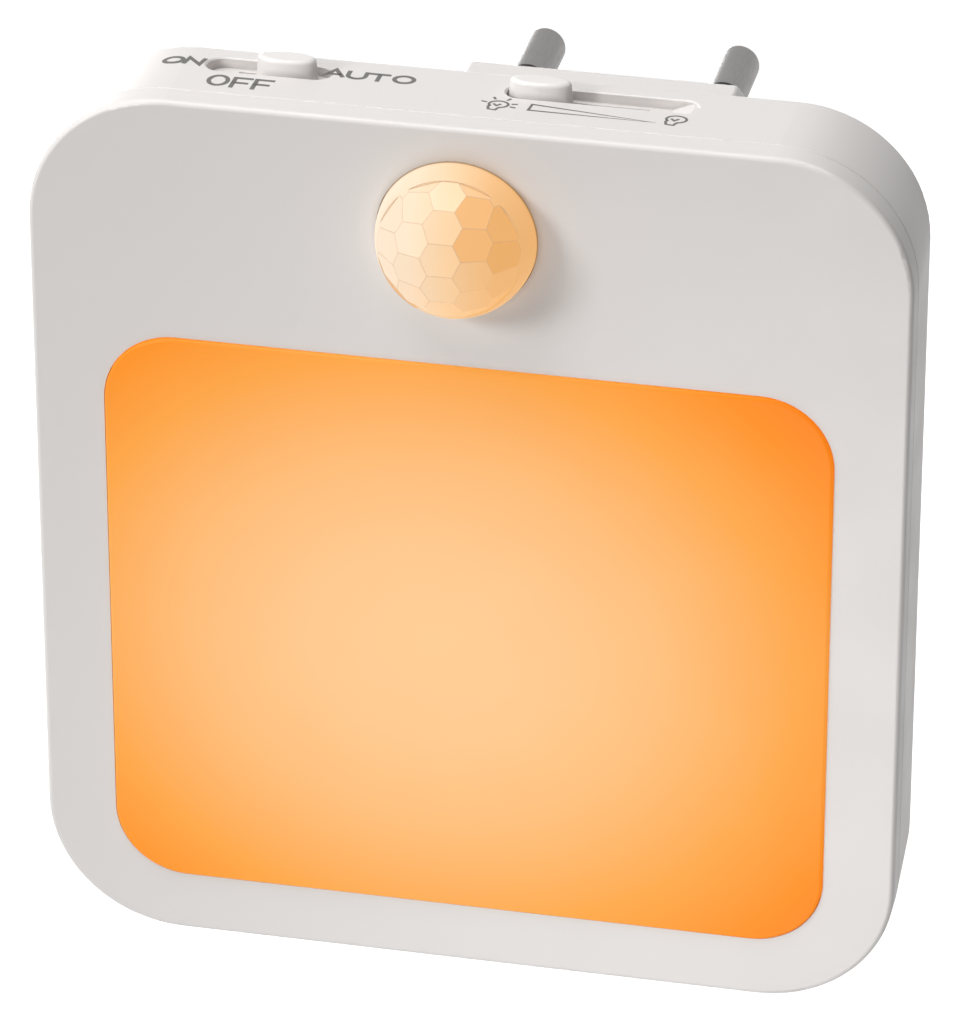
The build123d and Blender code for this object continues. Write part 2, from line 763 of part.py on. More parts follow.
with BuildPart() as leds:
    with BuildSketch(across(board_front)):
        with Locations(led_places):
            Rectangle(led_size[0], led_size[1])
    extrude(amount=led_size[2])
    with BuildSketch(across(board_front - led_size[2])):
        with Locations(led_places):
            Circle(led_well_diameter / 2)
    extrude(amount=-led_well_depth, mode=Mode.SUBTRACT)
export(leds.part, "leds")


def lead(x, up, reach, depth, to_depth):
    """Round wire that leaves a component's end along x, then bends to the board."""
    start = (case_x + x, front_y + depth, case_z + up)
    corner = (case_x + x + reach, front_y + depth, case_z + up)
    end = (case_x + x + reach, front_y + to_depth, case_z + up)
    with BuildPart() as wire:
        with BuildLine():
            FilletPolyline(start, corner, end, radius=lead_diameter)
        with BuildSketch(Plane(origin=start, z_dir=(reach, 0, 0))):
            Circle(lead_diameter / 2)
        sweep()
    return wire.part


with BuildPart() as smoothing_capacitor:
    can_x, can_up = smoothing_place
    can_depth = board_front - smoothing_diameter / 2
    can_start = (case_x + can_x - smoothing_length / 2, front_y + can_depth, case_z + can_up)
    with BuildSketch(Plane(origin=can_start, z_dir=(1, 0, 0))):
        Circle(smoothing_diameter / 2)
    extrude(amount=smoothing_length)
    fillet(smoothing_capacitor.edges().filter_by(GeomType.CIRCLE), radius=smoothing_edge_radius)
    lead_start = can_x - smoothing_length / 2
    for offset_up in (-smoothing_diameter / 4, smoothing_diameter / 4):
        add(lead(lead_start, can_up + offset_up, -lead_reach, can_depth, board_front))
export(smoothing_capacitor.part, "smoothing_capacitor")

with BuildPart() as fuse_resistor:
    fuse_x, fuse_up = fuse_place
    fuse_depth = board_rear + fuse_diameter / 2
    fuse_start = (case_x + fuse_x - fuse_length / 2, front_y + fuse_depth, case_z + fuse_up)
    with BuildSketch(Plane(origin=fuse_start, z_dir=(1, 0, 0))):
        Circle(fuse_diameter / 2)
    extrude(amount=fuse_length)
    fillet(fuse_resistor.edges().filter_by(GeomType.CIRCLE), radius=fuse_edge_radius)
    for side in (-1, 1):
        add(lead(fuse_x + side * fuse_length / 2, fuse_up, side * lead_reach, fuse_depth, board_rear))
export(fuse_resistor.part, "fuse_resistor")

with BuildPart() as dropper_capacitor:
    with BuildSketch(across(board_rear)):
        with Locations((plug_right, case_height / 2 - plug_drop)):
            RectangleRounded(dropper_size[0], dropper_size[1], dropper_corner_radius)
    extrude(amount=-dropper_size[2])
    fillet(dropper_capacitor.faces().sort_by(Axis.Y)[-1].edges(), radius=dropper_edge_radius)
export(dropper_capacitor.part, "dropper_capacitor")

with BuildPart() as bridge_rectifier:
    with BuildSketch(across(board_rear)):
        with Locations(bridge_place):
            Rectangle(bridge_size[0], bridge_size[1])
    extrude(amount=-bridge_size[2])
    chamfer(bridge_rectifier.edges().filter_by(Axis.Y), length=bridge_corner_chamfer)
export(bridge_rectifier.part, "bridge_rectifier")

with BuildPart() as control_chip:
    with BuildSketch(across(board_rear)):
        with Locations((0, chip_up)):
            Rectangle(chip_size[0], chip_size[1])
    extrude(amount=-chip_size[2])
    with BuildSketch(across(board_rear)):
        for side in (-1, 1):
            foot_up = chip_up + side * (chip_size[1] + chip_foot[1]) / 2
            with Locations((0, foot_up)):
                with GridLocations(chip_foot_pitch, 1, 4, 1):
                    Rectangle(chip_foot[0], chip_foot[1])
    extrude(amount=-chip_foot[2])
export(control_chip.part, "control_chip")

with BuildPart() as smd_resistors:
    with BuildSketch(across(board_rear)):
        with Locations(resistor_place):
            with GridLocations(resistor_pitch, resistor_pitch, 3, 2):
                Rectangle(resistor_size[0], resistor_size[1])
    extrude(amount=-resistor_size[2])
export(smd_resistors.part, "smd_resistors")


# ---- Pins and contacts ----------------------------------------------------------------------


def plug_pin(x):
    """Round pin: head and rivet inside the block, slim core in the sleeve, bare rounded end."""
    steps = [
        (-plug_end_wall - pin_head_height - contact_thickness, rivet_diameter / 2),
        (-plug_end_wall - pin_head_height, pin_head_diameter / 2),
        (-plug_end_wall, pin_diameter / 2),
        (0, pin_core_diameter / 2),
        (sleeve_length, pin_diameter / 2),
    ]
    ends = [y for y, _ in steps[1:]] + [pin_length]
    with BuildPart() as pin:
        for (start_y, radius), end_y in zip(steps, ends):
            with BuildSketch(across_plug(start_y)):
                with Locations((x, 0)):
                    Circle(radius)
            extrude(amount=start_y - end_y)
        tip = pin.faces().sort_by(Axis.Y)[-1]
        fillet(tip.edges(), radius=pin_tip_radius)
    return pin.part


def pin_sleeve(x):
    """Insulating tube round the slim part of a pin."""
    with BuildPart() as sleeve:
        with BuildSketch(across_plug(0)):
            with Locations((x, 0)):
                Circle(sleeve_diameter / 2)
                Circle(pin_core_diameter / 2 + press_gap, mode=Mode.SUBTRACT)
        extrude(amount=-sleeve_length)
    return sleeve.part


def pin_contact(x):
    """Strip riveted to a pin's head and bent forwards, with a tab through the board."""
    outward = 1 if x > 0 else -1
    eye_y = -plug_end_wall - pin_head_height - contact_thickness
    leaf_x = outward * (contact_leaf_x + contact_thickness / 2)
    leaf_end = front_y + board_rear
    with BuildPart() as contact:
        with BuildSketch(across_plug(eye_y)):
            with Locations((x, 0)):
                Circle(pin_head_diameter / 2)
            with Locations(((x + leaf_x + outward * contact_thickness / 2) / 2, 0)):
                Rectangle(abs(leaf_x - x) + contact_thickness / 2, contact_width)
            with Locations((x, 0)):
                Circle(rivet_diameter / 2 + press_gap, mode=Mode.SUBTRACT)
        extrude(amount=-contact_thickness)
        with BuildSketch(across_plug(eye_y)):
            with Locations((leaf_x, 0)):
                Rectangle(contact_thickness, contact_width)
        extrude(amount=eye_y - leaf_end)
        with BuildSketch(across_plug(leaf_end)):
            with Locations((leaf_x, 0)):
                Rectangle(contact_thickness, contact_tab_width)
        extrude(amount=board_thickness + contact_tab_reach)
    return contact.part


for name, x in (("live", -pin_pitch / 2), ("neutral", pin_pitch / 2)):
    export(plug_pin(x), f"{name}_pin")
    export(pin_sleeve(x), f"{name}_pin_sleeve")
    export(pin_contact(x), f"{name}_contact")


# ---- Screws ---------------------------------------------------------------------------------


def screw(seat, place, facing_back, head, shank, length):
    """Pan-head screw with a cross recess: seat is the depth that its head bears on."""
    head_diameter, head_height = head
    outward = -1 if facing_back else 1
    with BuildPart() as fastener:
        with BuildSketch(across(seat)):
            with Locations(place):
                Circle(head_diameter / 2)
        extrude(amount=outward * head_height)
        outer = fastener.faces().sort_by(Axis.Y)[-1 if facing_back else 0]
        fillet(outer.edges(), radius=head_height * head_round_share)
        with BuildSketch(across(seat - outward * head_height)):
            with Locations(place):
                Rectangle(head_diameter / 2, cross_width)
                Rectangle(cross_width, head_diameter / 2)
        extrude(amount=-outward * head_height * cross_share, mode=Mode.SUBTRACT)
        with BuildSketch(across(seat)):
            with Locations(place):
                Circle(shank / 2)
        extrude(amount=-outward * length)
    return fastener.part


case_head = (case_screw_head_diameter, case_screw_head_height)
case_seat = case_depth - counterbore_depth
case_screw_length = case_seat - cover_post_end + case_screw_bite
housing_screws = Compound(
    children=[
        screw(case_seat, place, True, case_head, case_screw_diameter, case_screw_length)
        for place in case_screw_places
    ]
)
export(housing_screws, "housing_screws")

board_head = (board_screw_head_diameter, board_screw_head_height)
board_screw_length = board_thickness + board_screw_bite
board_screws = Compound(
    children=[
        screw(board_front, place, False, board_head, board_screw_diameter, board_screw_length)
        for place in board_screw_places
    ]
)
export(board_screws, "board_screws")
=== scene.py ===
"""Looks of the plug-in night light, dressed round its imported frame. Metres, in the frame's axes."""

import json
from math import cos, hypot, pi, radians, sin, sqrt, tan

import bpy
from mathutils import Matrix, Vector


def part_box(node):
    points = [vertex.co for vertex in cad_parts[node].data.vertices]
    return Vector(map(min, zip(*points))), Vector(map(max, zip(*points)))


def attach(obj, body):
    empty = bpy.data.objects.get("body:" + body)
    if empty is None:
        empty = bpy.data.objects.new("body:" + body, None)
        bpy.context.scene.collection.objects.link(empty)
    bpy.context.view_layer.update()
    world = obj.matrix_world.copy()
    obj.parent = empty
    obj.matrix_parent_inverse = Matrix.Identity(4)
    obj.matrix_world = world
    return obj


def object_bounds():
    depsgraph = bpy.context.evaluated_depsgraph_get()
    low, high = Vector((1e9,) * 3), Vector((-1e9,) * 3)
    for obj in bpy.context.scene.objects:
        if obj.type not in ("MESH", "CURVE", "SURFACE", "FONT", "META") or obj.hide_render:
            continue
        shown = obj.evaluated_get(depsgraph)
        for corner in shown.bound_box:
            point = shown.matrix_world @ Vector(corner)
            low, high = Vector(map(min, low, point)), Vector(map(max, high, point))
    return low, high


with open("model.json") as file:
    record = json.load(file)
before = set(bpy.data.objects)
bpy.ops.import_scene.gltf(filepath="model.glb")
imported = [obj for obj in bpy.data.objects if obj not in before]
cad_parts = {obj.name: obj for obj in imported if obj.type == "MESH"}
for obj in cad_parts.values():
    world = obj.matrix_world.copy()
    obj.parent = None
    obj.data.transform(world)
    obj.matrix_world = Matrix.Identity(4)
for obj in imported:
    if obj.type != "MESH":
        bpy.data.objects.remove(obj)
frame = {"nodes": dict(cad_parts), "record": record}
cad_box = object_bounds()

MM = 0.001
nodes = frame["nodes"]

# ---- Places, from the frame -------------------------------------------------------------------

cover_low, cover_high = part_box("front_cover")
panel_low, panel_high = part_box("diffuser_panel")
window_low, window_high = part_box("pir_filter_window")
corner_radius = 12.9 * MM
seam_depth = 2.8 * MM  # how deep the cover is; the housing behind it narrows
housing_draft = radians(3.0)

case_mid_x = (cover_low.x + cover_high.x) / 2
case_face_y = cover_low.y
case_top_z = cover_high.z
face_centre = Vector((case_mid_x, case_face_y, (cover_low.z + cover_high.z) / 2))
panel_centre = (panel_low + panel_high) / 2
window_centre = (window_low + window_high) / 2
dome_centre = Vector((window_centre.x, case_face_y, window_centre.z))


# ---- Node helpers -----------------------------------------------------------------------------

NOISE_BAND = (0.3, 0.7)  # where most of a noise's values lie
WIDE_BAND = (0.2, 0.8)  # where nearly all of them lie
FINE_DETAIL = 3.0
BEVEL_SAMPLES = 4
CREVICE_SAMPLES = 6


class Shader:
    """A material being made: its node tree, its surface shader and the nodes added so far."""

    def __init__(self, name):
        self.material = bpy.data.materials.new(name)
        self.material.use_nodes = True
        self.tree = self.material.node_tree
        self.tree.nodes.clear()
        output = self.tree.nodes.new("ShaderNodeOutputMaterial")
        self.surface = self.tree.nodes.new("ShaderNodeBsdfPrincipled")
        self.tree.links.new(self.surface.outputs["BSDF"], output.inputs["Surface"])
        self.place = self.add("ShaderNodeTexCoord").outputs["Object"]

    def add(self, kind, **settings):
        """A node with some of its own settings."""
        made = self.tree.nodes.new(kind)
        for key, value in settings.items():
            setattr(made, key, value)
        return made

    def wire(self, source, socket):
        """Links a socket or sets a plain value."""
        if isinstance(source, bpy.types.NodeSocket):
            self.tree.links.new(source, socket)
        else:
            socket.default_value = source

    def set(self, **values):
        """Sets the surface shader's own sockets, with underscores for the spaces in their names."""
        for key, value in values.items():
            self.wire(value, self.surface.inputs[key.replace("_", " ")])

    def math(self, operation, a, b):
        """Maths on two numbers."""
        made = self.add("ShaderNodeMath", operation=operation)
        self.wire(a, made.inputs[0])
        self.wire(b, made.inputs[1])
        return made.outputs["Value"]

    def vector(self, operation, a, b=(0, 0, 0)):
        """Maths on vectors; LENGTH and DOT_PRODUCT give one number."""
        made = self.add("ShaderNodeVectorMath", operation=operation)
        self.wire(a, made.inputs[0])
        self.wire(b, made.inputs[1])
        return made.outputs["Value" if operation in ("LENGTH", "DOT_PRODUCT") else "Vector"]

    def axes(self, vector):
        """The X, Y and Z of a vector."""
        made = self.add("ShaderNodeSeparateXYZ")
        self.wire(vector, made.inputs[0])
        return made.outputs

    def noise(self, size, detail=2.0, stretch=(1, 1, 1)):
        """Noise with spots of about size metres, 0 to 1."""
        made = self.add("ShaderNodeTexNoise")
        self.wire(self.vector("MULTIPLY", self.place, Vector(stretch) / size), made.inputs["Vector"])
        made.inputs["Scale"].default_value = 1.0
        made.inputs["Detail"].default_value = detail
        return made.outputs["Fac"]

    def remap(self, value, low, high, to_low=0.0, to_high=1.0):
        """Maps low..high onto to_low..to_high, and holds the ends."""
        made = self.add("ShaderNodeMapRange")
        for source, name in zip(
            (value, low, high, to_low, to_high), ("Value", "From Min", "From Max", "To Min", "To Max")
        ):
            self.wire(source, made.inputs[name])
        return made.outputs["Result"]

    def vary(self, noise, low, high, band=NOISE_BAND):
        """A value that drifts between low and high with a noise."""
        return self.remap(noise, *band, low, high)

    def mix(self, share, a, b):
        """Colour a where share is 0 and b where it is 1."""
        made = self.add("ShaderNodeMix", data_type="RGBA")
        self.wire(share, made.inputs["Factor"])
        self.wire(a, made.inputs["A"])
        self.wire(b, made.inputs["B"])
        return made.outputs["Result"]

    def ramp(self, value, stops, stepped=False):
        """Colours along a value: stops are (place, colour), blended or in steps."""
        made = self.add("ShaderNodeValToRGB")
        self.wire(value, made.inputs["Fac"])
        if stepped:
            made.color_ramp.interpolation = "CONSTANT"
        elements = made.color_ramp.elements
        while len(elements) < len(stops):
            elements.new(position=0.5)
        for element, (place, colour) in zip(elements, stops):
            element.position = place
            element.color = rgba(colour)
        return made.outputs["Color"]

    def bump(self, height, depth):
        """Bends the surface's normal by a height of 0..1 that stands for depth metres."""
        made = self.add("ShaderNodeBump")
        made.inputs["Distance"].default_value = depth
        self.wire(height, made.inputs["Height"])
        self.wire(made.outputs["Normal"], self.surface.inputs["Normal"])

    def gloss(self, patches, low, high):
        """Roughness that drifts between low and high, in patches of about this size."""
        self.set(Roughness=self.vary(self.noise(patches), low, high))

    def grain(self, size, depth, detail=2.0):
        """Fine bumps of about this size and depth."""
        self.bump(self.noise(size, detail), depth)

    def edges(self, radius, flat=0.995, sharp=0.90):
        """1 along edges, within about radius, and 0 on open faces.

        flat and sharp are how the true normal agrees with the smoothed one, where it gives 0 and 1.
        """
        rounded = self.add("ShaderNodeBevel", samples=BEVEL_SAMPLES)
        rounded.inputs["Radius"].default_value = radius
        true_normal = self.add("ShaderNodeNewGeometry").outputs["Normal"]
        agreement = self.vector("DOT_PRODUCT", rounded.outputs["Normal"], true_normal)
        return self.remap(agreement, flat, sharp)

    def crevices(self, reach, open_sky=0.95, closed_in=0.45):
        """1 in inner corners and grooves about reach wide, and 0 on open faces."""
        made = self.add("ShaderNodeAmbientOcclusion", samples=CREVICE_SAMPLES)
        made.inputs["Distance"].default_value = reach
        return self.remap(made.outputs["AO"], open_sky, closed_in)


def rgba(colour, factor=1.0):
    """A colour that is made darker or lighter by factor, with its alpha."""
    return (colour[0] * factor, colour[1] * factor, colour[2] * factor, 1.0)


# ---- Materials --------------------------------------------------------------------------------

CREVICE_SHADE_TONE = (0.46, 0.43, 0.41)  # painted shade: grey in grooves and inner corners, as a share of the plastic's own tone
GROOVE = 0.7 * MM
FLOW_MARKS = 22 * MM  # the faint cloudiness that flowing plastic leaves
FLOW_TINTS = (0.985, 1.015)
GLOSS_PATCHES = 7 * MM
GLOSS_DRIFT = 0.04  # how far the roughness strays either way
WORN_AND_LIT_EDGE = 0.25 * MM
RUBBED_AND_LIT = 0.35  # how far the edges turn to white, from rubbed wear and a painted highlight


def moulded(name, colour, roughness, grain=0.35 * MM, grain_depth=0.003 * MM, wear_and_highlight=0.04, crevice_shade=0.0):
    """Moulded plastic: fine grain, faint flow marks, slightly paler edges from wear and a painted
    highlight, and painted shade in its grooves.
    """
    made = Shader(name)
    tone = made.mix(made.noise(FLOW_MARKS), *(rgba(colour, tint) for tint in FLOW_TINTS))
    # Painted shade: grey where the ambient occlusion finds inner corners and grooves.
    if crevice_shade:
        crevice_shade_share = made.math("MULTIPLY", made.crevices(GROOVE), crevice_shade)
        tone = made.mix(crevice_shade_share, tone, rgba(CREVICE_SHADE_TONE, colour[0]))
    # Paler edges: rubbed wear and a painted highlight.
    worn_and_lit = made.math("MULTIPLY", made.edges(WORN_AND_LIT_EDGE), wear_and_highlight)
    rubbed_and_lit_tone = tuple(c + (1 - c) * RUBBED_AND_LIT for c in colour)
    made.set(Base_Color=made.mix(worn_and_lit, tone, rgba(rubbed_and_lit_tone)))
    made.gloss(GLOSS_PATCHES, roughness - GLOSS_DRIFT, roughness + GLOSS_DRIFT)
    made.grain(grain, grain_depth, FINE_DETAIL)
    return made.material


STAIN_PATCHES = 4 * MM
STAIN_TINTS = (0.88, 1.08)
STREAK_DRIFT = 0.07  # how far the marks take the roughness either way
STREAK_DEPTH = 0.002 * MM


def plated(name, colour, roughness, stretch=(1, 1, 1), scratch=0.25 * MM):
    """Plated or rolled metal with drawing marks along the axis that stretch leaves longest."""
    made = Shader(name)
    streaks = made.noise(scratch, FINE_DETAIL, stretch)
    stained = made.mix(made.noise(STAIN_PATCHES), *(rgba(colour, tint) for tint in STAIN_TINTS))
    made.set(Base_Color=stained, Metallic=1.0)
    made.set(Roughness=made.vary(streaks, roughness - STREAK_DRIFT, roughness + STREAK_DRIFT))
    made.bump(streaks, STREAK_DEPTH)
    return made.material


MOTTLE_BAND = (0.35, 0.65)
MOTTLE_TINT = 0.8  # the second colour, where none is given
SMEAR = 0.08  # how much rougher the coat is where it was touched


def glossy(name, colour, roughness, second=None, spot=1.2 * MM):
    """Lacquer, epoxy or glass: a smooth coat over a body that is mottled with a second colour."""
    made = Shader(name)
    mottle = made.remap(made.noise(spot), *MOTTLE_BAND)
    other = rgba(second) if second else rgba(colour, MOTTLE_TINT)
    made.set(Base_Color=made.mix(mottle, rgba(colour), other), Coat_Weight=0.5, Coat_Roughness=0.12)
    made.gloss(patches=3 * MM, low=roughness, high=roughness + SMEAR)
    made.grain(size=2 * MM, depth=0.004 * MM)
    return made.material


TRACK_PITCH = 9 * MM
TRACK_WIDTH = 0.03  # as a share of their pitch
TRACK_HEIGHT = 0.03 * MM
TRACK_TONE = (0.70, 0.74, 0.66)


def board_laminate(name, colour):
    """White solder mask over copper tracks, which show as slightly raised paler lines."""
    made = Shader(name)
    turned = made.add("ShaderNodeMapping")
    pitches = made.vector("MULTIPLY", made.place, Vector((1, 1, 1)) / TRACK_PITCH)
    made.wire(pitches, turned.inputs["Vector"])
    turned.inputs["Rotation"].default_value = (radians(90), 0, 0)
    tracks = made.add("ShaderNodeTexBrick", offset=0.5)
    made.wire(turned.outputs["Vector"], tracks.inputs["Vector"])
    tracks.inputs["Mortar Size"].default_value = TRACK_WIDTH
    copper = tracks.outputs["Fac"]
    made.set(Base_Color=made.mix(copper, rgba(colour), rgba(TRACK_TONE)))
    made.gloss(patches=1.5 * MM, low=0.32, high=0.42)
    made.bump(copper, TRACK_HEIGHT)
    return made.material


LED_GLOW = (1.0, 0.62, 0.25)


def lit_led(name, colour):
    """White package round a lit phosphor."""
    made = Shader(name)
    grains = made.noise(size=0.12 * MM)
    made.set(Base_Color=made.mix(grains, rgba(colour, factor=0.9), rgba(colour)))
    made.set(Roughness=made.vary(grains, low=0.35, high=0.5))
    made.set(Emission_Color=rgba(LED_GLOW), Emission_Strength=0.6)
    made.bump(grains, depth=0.01 * MM)
    return made.material


# Light that leaves the panel, by distance from the middle of the glow
GLOW_OFFSET = Vector((-3.5 * MM, 0, -0.8 * MM))
GLOW_REACH = 45 * MM
GLOW_STRETCH = 1.15  # the glow is this much wider than it is high
GLOW_STOPS = [
    (0.00, (0.74, 0.520, 0.290)),
    (0.22, (0.74, 0.496, 0.266)),
    (0.44, (0.74, 0.424, 0.182)),
    (0.67, (0.74, 0.302, 0.056)),
    (0.84, (0.74, 0.200, 0.006)),
    (1.00, (0.74, 0.120, 0.000)),
]
GLOW_DRIFT = (0.985, 1.015)  # how uneven the glow is, here and in the dome
PANEL_BODY = (0.30, 0.10, 0.01)


def glowing_panel(name):
    """Opal sheet lit from behind: pale in the middle, deep orange towards its rim."""
    made = Shader(name)
    middle = panel_centre + GLOW_OFFSET
    from_middle = made.vector("SUBTRACT", made.place, (middle.x, 0, middle.z))
    squeezed = made.vector("MULTIPLY", from_middle, Vector((1 / GLOW_STRETCH, 0, 1)) / GLOW_REACH)
    made.set(Emission_Color=made.ramp(made.vector("LENGTH", squeezed), GLOW_STOPS))
    made.set(Emission_Strength=made.vary(made.noise(size=9 * MM), *GLOW_DRIFT, band=WIDE_BAND))
    made.set(Base_Color=rgba(PANEL_BODY), Specular_IOR_Level=0.12)
    made.gloss(patches=5 * MM, low=0.36, high=0.44)
    made.grain(size=0.3 * MM, depth=0.0015 * MM, detail=FINE_DETAIL)
    return made.material


# Painted glow that stands for light shining through the dome, from its left side to its right
DOME_GLOW = [
    (0.00, (0.67, 0.560, 0.440)),
    (0.30, (0.69, 0.530, 0.370)),
    (0.52, (0.72, 0.455, 0.225)),
    (0.75, (0.72, 0.370, 0.115)),
    (1.00, (0.70, 0.340, 0.090)),
]
DOME_BODY = (0.25, 0.20, 0.15)
DOME_HALF = 7.6 * MM
# Some facets right of the pole have a deeper tint in the painted glow, in degrees from the pole
DEEP_GLOW = (0.70, 0.310, 0.052)
DEEP_SHARE = 0.8
DEEP_MIDDLE = (35.0, 26.0)  # right of the pole and above it
DEEP_REACH = (23.2, 22.0)  # round that middle, where the tint is none and full
# Darker lines in the painted glow along the creases between facets show on the upper left and fade towards
# the lower right
CREASE_GLOW = (0.38, 0.220, 0.115)
CREASE_RADIUS = 0.14 * MM
CREASE_AGREEMENT = (0.998, 0.988)
CREASE_FADE = (1.0 * MM, 6.0 * MM)
CREASE_SHARES = (0.95, 0.15)
# Painted shade at the foot of the dome, just proud of the cover
FOOT_BAND = 0.16 * MM
FOOT_SHARE = 0.75
FOOT_TONE = 0.5  # of the creases' own


def dome_lens(name):
    """Milky polyethylene lens with a painted glow that stands for the light inside, with a deeper tint in
    some facets.
    """
    made = Shader(name)
    x, y, z = made.axes(made.vector("SUBTRACT", made.place, dome_centre))
    glow = made.ramp(made.remap(x, -DOME_HALF, DOME_HALF), DOME_GLOW)

    tilt = hypot(*DEEP_MIDDLE)
    side = sin(radians(tilt)) / tilt
    deep_middle = (side * DEEP_MIDDLE[0], -cos(radians(tilt)), side * DEEP_MIDDLE[1])
    facing = made.add("ShaderNodeTexCoord").outputs["Normal"]
    near = made.vector("DOT_PRODUCT", facing, deep_middle)
    deep = made.remap(near, *(cos(radians(reach)) for reach in DEEP_REACH))
    glow = made.mix(made.math("MULTIPLY", deep, DEEP_SHARE), glow, rgba(DEEP_GLOW))

    crease = made.edges(CREASE_RADIUS, *CREASE_AGREEMENT)
    fading = made.remap(made.math("SUBTRACT", x, z), *CREASE_FADE, *CREASE_SHARES)
    glow = made.mix(made.math("MULTIPLY", crease, fading), glow, rgba(CREASE_GLOW))

    # Painted shade: the glow turns dark brown in a thin band at the dome's foot.
    foot = made.remap(y, -FOOT_BAND, -FOOT_BAND / 2)
    glow = made.mix(made.math("MULTIPLY", foot, FOOT_SHARE), glow, rgba(CREASE_GLOW, FOOT_TONE))

    # The dome is no lamp: its emission is a painted glow.
    made.set(Base_Color=rgba(DOME_BODY), Emission_Color=glow)
    made.set(Emission_Strength=made.vary(made.noise(size=2.5 * MM), *GLOW_DRIFT, band=WIDE_BAND))
    made.gloss(patches=2 * MM, low=0.40, high=0.48)
    made.grain(size=0.8 * MM, depth=0.006 * MM, detail=FINE_DETAIL)
    return made.material


INK_TONES = ((0.11, 0.105, 0.10), (0.19, 0.185, 0.175))


def printed_ink(name):
    """Pad-printed grey ink, a little uneven."""
    made = Shader(name)
    spread = made.noise(size=0.12 * MM, detail=FINE_DETAIL)
    made.set(Base_Color=made.mix(spread, *(rgba(tone) for tone in INK_TONES)))
    made.set(Roughness=made.vary(spread, low=0.5, high=0.65))
    made.bump(spread, depth=0.003 * MM)
    return made.material


BAND_BROWN = (0.35, 0.12, 0.04)
BAND_BLACK = (0.02, 0.02, 0.02)
BAND_GOLD = (0.55, 0.38, 0.08)


def fuse_body(name, colour):
    """Lacquered resistor with coloured value bands along its length."""
    made = Shader(name)
    low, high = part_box("fuse_resistor")
    along = made.remap(made.axes(made.place)["X"], low.x, high.x)
    stops = [(0.0, colour), (0.30, BAND_BROWN), (0.36, colour), (0.46, BAND_BLACK)]
    stops += [(0.52, colour), (0.66, BAND_GOLD), (0.72, colour)]
    made.set(Base_Color=made.ramp(along, stops, stepped=True), Coat_Weight=0.6, Coat_Roughness=0.1)
    made.gloss(patches=1 * MM, low=0.3, high=0.4)
    made.grain(size=0.8 * MM, depth=0.01 * MM)
    return made.material


materials = {
    "case_white": moulded("case_white", (0.805, 0.772, 0.752), 0.42, crevice_shade=0.55),
    "knob_white": moulded("knob_white", (0.850, 0.822, 0.800), 0.36, wear_and_highlight=0.3, crevice_shade=0.4),
    "shutter_white": moulded("shutter_white", (0.72, 0.70, 0.68), 0.5, crevice_shade=0.5),
    "lever_white": moulded("lever_white", (0.80, 0.80, 0.79), 0.4),
    "reflector_white": moulded("reflector_white", (0.90, 0.90, 0.88), 0.5),
    "retainer_white": moulded("retainer_white", (0.88, 0.87, 0.85), 0.5),
    "spacer_black": moulded("spacer_black", (0.045, 0.045, 0.045), 0.55),
    "switch_black": moulded("switch_black", (0.05, 0.05, 0.055), 0.48, grain_depth=0.006 * MM),
    "sleeve_black": moulded("sleeve_black", (0.04, 0.04, 0.042), 0.5),
    "epoxy_black": moulded("epoxy_black", (0.035, 0.035, 0.037), 0.6, grain=0.15 * MM),
    "diffuser_opal": glowing_panel("diffuser_opal"),
    "lens_polyethylene": dome_lens("lens_polyethylene"),
    "sensor_can": plated("sensor_can", (0.62, 0.62, 0.64), 0.3),
    "sensor_window": glossy("sensor_window", (0.05, 0.04, 0.045), 0.1),
    "light_sensor_clear": glossy("light_sensor_clear", (0.70, 0.74, 0.76), 0.12),
    "board_laminate": board_laminate("board_laminate", (0.80, 0.82, 0.79)),
    "led_phosphor": lit_led("led_phosphor", (0.95, 0.80, 0.40)),
    "film_capacitor": glossy("film_capacitor", (0.55, 0.07, 0.05), 0.25),
    "electrolytic_sleeve": glossy("electrolytic_sleeve", (0.03, 0.035, 0.06), 0.3),
    "resistor_ceramic": glossy("resistor_ceramic", (0.06, 0.06, 0.065), 0.3, (0.5, 0.5, 0.5), 1.6 * MM),
    "fuse_body": fuse_body("fuse_body", (0.40, 0.58, 0.55)),
    "pin_nickel": plated("pin_nickel", (0.255, 0.245, 0.238), 0.40, stretch=(1, 0.12, 1)),
    "contact_brass": plated("contact_brass", (0.72, 0.52, 0.22), 0.32, stretch=(1, 0.15, 1)),
    "screw_steel": plated("screw_steel", (0.55, 0.55, 0.56), 0.32),
}
ink = printed_ink("printed_ink")

for part in frame["record"]["subparts"]:
    mesh = nodes[part["node"]].data
    mesh.materials.clear()
    mesh.materials.append(materials[part["material_slot"]])


# ---- Marks printed on the top face --------------------------------------------------------------

STROKE = 0.42 * MM  # width of the words' lines
FINE_STROKE = 0.25 * MM  # width of the signs' lines
INK_HEIGHT = 0.012 * MM
ARC_STEPS = 20
SAME_POINT = 1e-7
MITRE_LIMIT = 0.35  # keeps a sharp bend's corner from running far out
OVERHANG = 0.25  # past an open line's end points, as a share of its width


def arc(centre, radii, start, end):
    """Points of an arc, angles in degrees."""
    turns = [radians(start + (end - start) * i / ARC_STEPS) for i in range(ARC_STEPS + 1)]
    return [(centre[0] + radii[0] * cos(t), centre[1] + radii[1] * sin(t)) for t in turns]


# Strokes of each letter in a box 1 wide and 1 high
LETTERS = {
    "O": [arc((0.5, 0.5), (0.5, 0.5), 0, 360)],
    "F": [[(0, 0), (0, 1), (0.9, 1)], [(0, 0.5), (0.75, 0.5)]],
    "N": [[(0, 0), (0, 1), (0.85, 0), (0.85, 1)]],
    "A": [[(0, 0), (0.5, 1), (1, 0)], [(0.2, 0.32), (0.8, 0.32)]],
    "U": [[(0, 1)] + arc((0.45, 0.42), (0.45, 0.42), 180, 360) + [(0.9, 1)]],
    "T": [[(0, 1), (1, 1)], [(0.5, 1), (0.5, 0)]],
}


